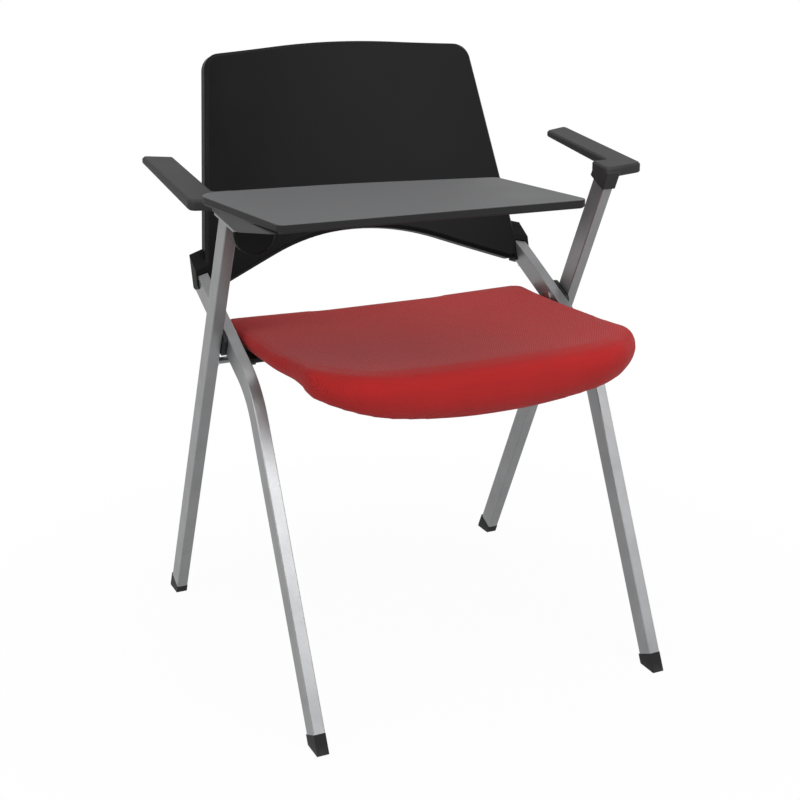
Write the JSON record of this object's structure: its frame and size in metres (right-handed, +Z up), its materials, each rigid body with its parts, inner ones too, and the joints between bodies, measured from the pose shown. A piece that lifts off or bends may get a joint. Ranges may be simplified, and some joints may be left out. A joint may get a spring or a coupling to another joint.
{
  "type": "tablet arm chair",
  "caption": "Folding conference chair with crossing flat-sided tubes, moulded backrest, upholstered seat, arm pads and a flip-up writing tablet on one arm.",
  "frame": {"origin": "on the floor, on the chair's middle plane, halfway between its front and back ends", "axes": "+X to the sitter's left, +Y to the back, +Z up"},
  "size_m": [0.632, 0.5788, 0.7934],
  "materials": {
    "satin_chrome": "satin",
    "steel": "satin",
    "red_fabric": "woven",
    "grey_laminate": "fine grain",
    "foot_rubber": "matt",
    "black_plastic": "fine grain"
  },
  "bodies": {
    "front_frame": {"backrest_shell": "black_plastic", "front_foot_left": "foot_rubber", "front_foot_right": "foot_rubber", "front_leg_tube_left": "satin_chrome", "front_leg_tube_right": "satin_chrome", "pivot_pin_left": "steel", "pivot_pin_right": "steel", "pivot_spacer_left": "black_plastic", "pivot_spacer_right": "black_plastic", "seat_rest_left": "black_plastic", "seat_rest_right": "black_plastic"},
    "rear_frame": {"arm_pad_left": "black_plastic", "arm_pad_right": "black_plastic", "pivot_bush_left": "black_plastic", "pivot_bush_right": "black_plastic", "rear_foot_left": "foot_rubber", "rear_foot_right": "foot_rubber", "rear_leg_tube_left": "satin_chrome", "rear_leg_tube_right": "satin_chrome", "seat_axle": "satin_chrome", "tablet_bracket": "black_plastic", "tablet_pin": "steel"},
    "seat": {"seat_cushion": "red_fabric", "seat_hinge_left": "black_plastic", "seat_hinge_right": "black_plastic", "seat_pan": "black_plastic"},
    "tablet": {"tablet_board": "grey_laminate", "tablet_hub": "black_plastic", "tablet_strap": "satin_chrome", "tablet_support": "black_plastic"}
  },
  "joints": [
    {"name": "frame_fold", "type": "hinge", "parent": "front_frame", "child": "rear_frame", "pos_m": [0, 0.05605, 0.4472], "axis": [-1, 0, 0], "range_deg": [0, 48]},
    {"name": "seat_tip", "type": "hinge", "parent": "rear_frame", "child": "seat", "pos_m": [0, 0.07358, 0.41125], "axis": [-1, 0, 0], "range_deg": [0, 38.4]},
    {"name": "tablet_flip", "type": "hinge", "parent": "rear_frame", "child": "tablet", "pos_m": [-0.2447, -0.06825, 0.6076], "axis": [0, -1, 0], "range_deg": [0, 105]}
  ],
  "couplings": [
    {"joint": "seat_tip", "follows": "frame_fold", "ratio": 0.8}
  ]
}
